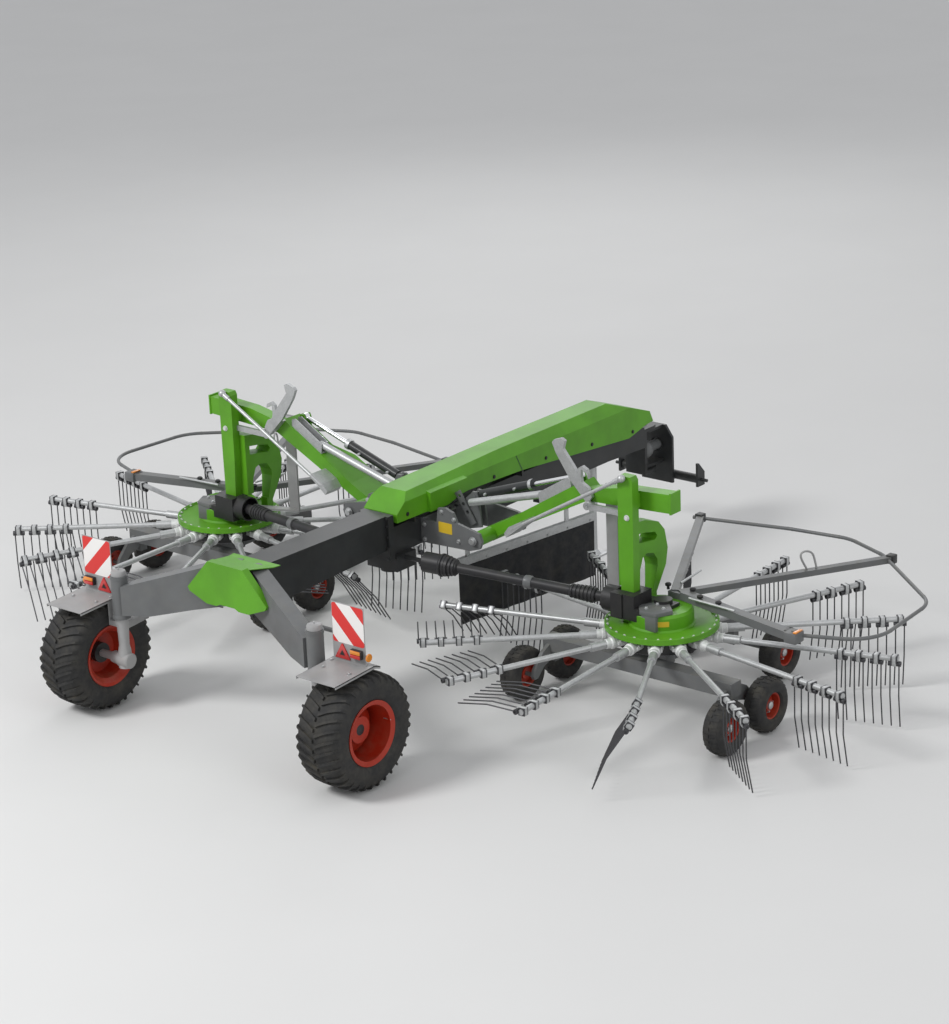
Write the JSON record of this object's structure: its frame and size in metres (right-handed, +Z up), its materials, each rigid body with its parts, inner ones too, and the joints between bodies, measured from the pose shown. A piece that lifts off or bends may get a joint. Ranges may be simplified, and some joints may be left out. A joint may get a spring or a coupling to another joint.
{
  "type": "twin rotor hay rake",
  "caption": "Trailed hay rake with two tine rotors on lifting side booms, a long hood, a swath curtain and a steered rear axle",
  "frame": {"origin": "middle of the bounding box in plan, at ground level", "axes": "+X points forward to the hitch, +Y to the left side, +Z up"},
  "size_m": [5.9049, 7.8434, 1.902],
  "materials": {
    "frame_grey": "semi-gloss anthracite paint on welded plate",
    "mid_grey": "semi-gloss grey paint on welded plate",
    "green_paint": "glossy bright green paint",
    "black_paint": "glossy black paint",
    "rim_red": "glossy orange-red paint",
    "galvanised": "hot-dip galvanised, dull",
    "shaft_steel": "bare machined steel",
    "chrome_rod": "polished chrome",
    "spring_steel": "dark lacquered spring steel",
    "tyre_rubber": "matt black rubber",
    "black_plastic": "matt black plastic guard",
    "curtain_cloth": "matt black coated cloth"
  },
  "bodies": {
    "frame": {"main_beam": "frame_grey", "hitch_fork": "frame_grey", "axle_beam": "mid_grey", "rear_cover": "green_paint", "hood": "green_paint", "central_gearbox": "frame_grey", "jack_tube": "galvanised", "curtain_bar": "galvanised", "curtain": "curtain_cloth", "boom_bracket_left": "mid_grey", "boom_bracket_right": "mid_grey"},
    "headstock_body": {"headstock": "frame_grey"},
    "drive_stub_body": {"drive_stub": "shaft_steel"},
    "jack_leg_body": {"jack_leg": "galvanised"},
    "track_rod_body": {"track_rod": "mid_grey"},
    "knuckle_left_body": {"knuckle_left": "mid_grey", "mudguard_left": "mid_grey"},
    "road_wheel_left": {"rim_left": "rim_red", "tyre_left": "tyre_rubber"},
    "boom_left_body": {"boom_left": "green_paint", "boom_links_left": "galvanised", "rotor_frame_left": "green_paint", "rotor_housing_left": "green_paint", "rotor_gearbox_left": "black_paint", "chassis_left": "mid_grey", "guard_left": "mid_grey"},
    "lift_barrel_left_body": {"lift_barrel_left": "black_paint"},
    "lift_rod_left_body": {"lift_rod_left": "chrome_rod"},
    "drive_shaft_left_body": {"drive_shaft_left": "black_plastic"},
    "rotor_left_body": {"tine_arms_left": "galvanised", "tines_left": "spring_steel"},
    "tandem_left_1": {"wheel_left_1": "tyre_rubber"},
    "tandem_left_2": {"wheel_left_2": "tyre_rubber"},
    "tandem_left_3": {"wheel_left_3": "tyre_rubber"},
    "tandem_left_4": {"wheel_left_4": "tyre_rubber"},
    "front_pair_left": {"front_wheels_left": "tyre_rubber"},
    "knuckle_right_body": {"knuckle_right": "mid_grey", "mudguard_right": "mid_grey"},
    "road_wheel_right": {"rim_right": "rim_red", "tyre_right": "tyre_rubber"},
    "boom_right_body": {"boom_right": "green_paint", "boom_links_right": "galvanised", "rotor_frame_right": "green_paint", "rotor_housing_right": "green_paint", "rotor_gearbox_right": "black_paint", "chassis_right": "mid_grey", "guard_right": "mid_grey"},
    "lift_barrel_right_body": {"lift_barrel_right": "black_paint"},
    "lift_rod_right_body": {"lift_rod_right": "chrome_rod"},
    "drive_shaft_right_body": {"drive_shaft_right": "black_plastic"},
    "rotor_right_body": {"tine_arms_right": "galvanised", "tines_right": "spring_steel"},
    "tandem_right_1": {"wheel_right_1": "tyre_rubber"},
    "tandem_right_2": {"wheel_right_2": "tyre_rubber"},
    "tandem_right_3": {"wheel_right_3": "tyre_rubber"},
    "tandem_right_4": {"wheel_right_4": "tyre_rubber"},
    "front_pair_right": {"front_wheels_right": "tyre_rubber"}
  },
  "joints": [
    {"name": "headstock_swivel", "type": "hinge", "parent": "frame", "child": "headstock_body", "pos_m": [2.592, 0, 0.84], "axis": [0, 0, 1], "range_deg": [-60, 60]},
    {"name": "drive_turn", "type": "hinge", "parent": "headstock_body", "child": "drive_stub_body", "pos_m": [2.772, 0, 0.82], "axis": [1, 0, 0], "continuous": true},
    {"name": "jack_slide", "type": "slide", "parent": "frame", "child": "jack_leg_body", "axis": [0, 0, 1], "range_m": [0, 0.35]},
    {"name": "track_rod_swing", "type": "hinge", "parent": "knuckle_left_body", "child": "track_rod_body", "pos_m": [-2.128, 0.964, 0.9], "axis": [0, 0, 1], "range_deg": [-25, 25]},
    {"name": "steer_left", "type": "hinge", "parent": "frame", "child": "knuckle_left_body", "pos_m": [-2.528, 0.964, 0.9], "axis": [0, 0, 1], "range_deg": [-25, 25]},
    {"name": "road_wheel_turn_left", "type": "hinge", "parent": "knuckle_left_body", "child": "road_wheel_left", "pos_m": [-2.528, 1.28, 0.425], "axis": [0, 1, 0], "continuous": true},
    {"name": "boom_lift_left", "type": "hinge", "parent": "frame", "child": "boom_left_body", "pos_m": [-0.228, 0.62, 1.02], "axis": [1, 0, 0], "range_deg": [-3, 82]},
    {"name": "lift_swing_left", "type": "hinge", "parent": "frame", "child": "lift_barrel_left_body", "pos_m": [-0.038, 0.38, 1.238], "axis": [1, 0, 0], "range_deg": [-4, 92]},
    {"name": "lift_stroke_left", "type": "slide", "parent": "lift_barrel_left_body", "child": "lift_rod_left_body", "axis": [0, 0.9475, 0.3197], "range_m": [-0.46, 0.03]},
    {"name": "shaft_swing_left", "type": "hinge", "parent": "frame", "child": "drive_shaft_left_body", "pos_m": [-0.638, 0.33, 0.875], "axis": [1, 0, 0], "range_deg": [-3, 67]},
    {"name": "rotor_turn_left", "type": "hinge", "parent": "boom_left_body", "child": "rotor_left_body", "pos_m": [-0.16, 2.176, 0.563], "axis": [0, 0, 1], "continuous": true},
    {"name": "wheel_turn_left_1", "type": "hinge", "parent": "boom_left_body", "child": "tandem_left_1", "pos_m": [-0.668, 3.081, 0.205], "axis": [0, 1, 0], "continuous": true},
    {"name": "wheel_turn_left_2", "type": "hinge", "parent": "boom_left_body", "child": "tandem_left_2", "pos_m": [-0.168, 3.081, 0.205], "axis": [0, 1, 0], "continuous": true},
    {"name": "wheel_turn_left_3", "type": "hinge", "parent": "boom_left_body", "child": "tandem_left_3", "pos_m": [-0.668, 1.271, 0.205], "axis": [0, 1, 0], "continuous": true},
    {"name": "wheel_turn_left_4", "type": "hinge", "parent": "boom_left_body", "child": "tandem_left_4", "pos_m": [-0.168, 1.271, 0.205], "axis": [0, 1, 0], "continuous": true},
    {"name": "front_wheels_turn_left", "type": "hinge", "parent": "boom_left_body", "child": "front_pair_left", "pos_m": [0.722, 2.176, 0.205], "axis": [0, 1, 0], "continuous": true},
    {"name": "steer_right", "type": "hinge", "parent": "frame", "child": "knuckle_right_body", "pos_m": [-2.528, -0.964, 0.9], "axis": [0, 0, 1], "range_deg": [-25, 25]},
    {"name": "road_wheel_turn_right", "type": "hinge", "parent": "knuckle_right_body", "child": "road_wheel_right", "pos_m": [-2.528, -1.28, 0.425], "axis": [0, 1, 0], "continuous": true},
    {"name": "boom_lift_right", "type": "hinge", "parent": "frame", "child": "boom_right_body", "pos_m": [-0.228, -0.62, 1.02], "axis": [-1, 0, 0], "range_deg": [-3, 82]},
    {"name": "lift_swing_right", "type": "hinge", "parent": "frame", "child": "lift_barrel_right_body", "pos_m": [-0.038, -0.38, 1.238], "axis": [-1, 0, 0], "range_deg": [-4, 92]},
    {"name": "lift_stroke_right", "type": "slide", "parent": "lift_barrel_right_body", "child": "lift_rod_right_body", "axis": [0, -0.9475, 0.3197], "range_m": [-0.46, 0.03]},
    {"name": "shaft_swing_right", "type": "hinge", "parent": "frame", "child": "drive_shaft_right_body", "pos_m": [-0.638, -0.33, 0.875], "axis": [-1, 0, 0], "range_deg": [-3, 67]},
    {"name": "rotor_turn_right", "type": "hinge", "parent": "boom_right_body", "child": "rotor_right_body", "pos_m": [-0.16, -2.176, 0.563], "axis": [0, 0, 1], "continuous": true},
    {"name": "wheel_turn_right_1", "type": "hinge", "parent": "boom_right_body", "child": "tandem_right_1", "pos_m": [-0.668, -3.081, 0.205], "axis": [0, 1, 0], "continuous": true},
    {"name": "wheel_turn_right_2", "type": "hinge", "parent": "boom_right_body", "child": "tandem_right_2", "pos_m": [-0.168, -3.081, 0.205], "axis": [0, 1, 0], "continuous": true},
    {"name": "wheel_turn_right_3", "type": "hinge", "parent": "boom_right_body", "child": "tandem_right_3", "pos_m": [-0.668, -1.271, 0.205], "axis": [0, 1, 0], "continuous": true},
    {"name": "wheel_turn_right_4", "type": "hinge", "parent": "boom_right_body", "child": "tandem_right_4", "pos_m": [-0.168, -1.271, 0.205], "axis": [0, 1, 0], "continuous": true},
    {"name": "front_wheels_turn_right", "type": "hinge", "parent": "boom_right_body", "child": "front_pair_right", "pos_m": [0.722, -2.176, 0.205], "axis": [0, 1, 0], "continuous": true}
  ],
  "couplings": [
    {"joint": "track_rod_swing", "follows": "headstock_swivel", "ratio": 0.4},
    {"joint": "steer_left", "follows": "headstock_swivel", "ratio": -0.4},
    {"joint": "lift_swing_left", "follows": "boom_lift_left", "ratio": 1.0968},
    {"joint": "lift_stroke_left", "follows": "boom_lift_left", "m_per_rad": -0.28662},
    {"joint": "shaft_swing_left", "follows": "boom_lift_left", "ratio": 0.8067},
    {"joint": "steer_right", "follows": "headstock_swivel", "ratio": -0.4},
    {"joint": "lift_swing_right", "follows": "boom_lift_right", "ratio": 1.0968},
    {"joint": "lift_stroke_right", "follows": "boom_lift_right", "m_per_rad": -0.28662},
    {"joint": "shaft_swing_right", "follows": "boom_lift_right", "ratio": 0.8067},
    {"joint": "rotor_turn_right", "follows": "rotor_turn_left", "ratio": -1}
  ]
}
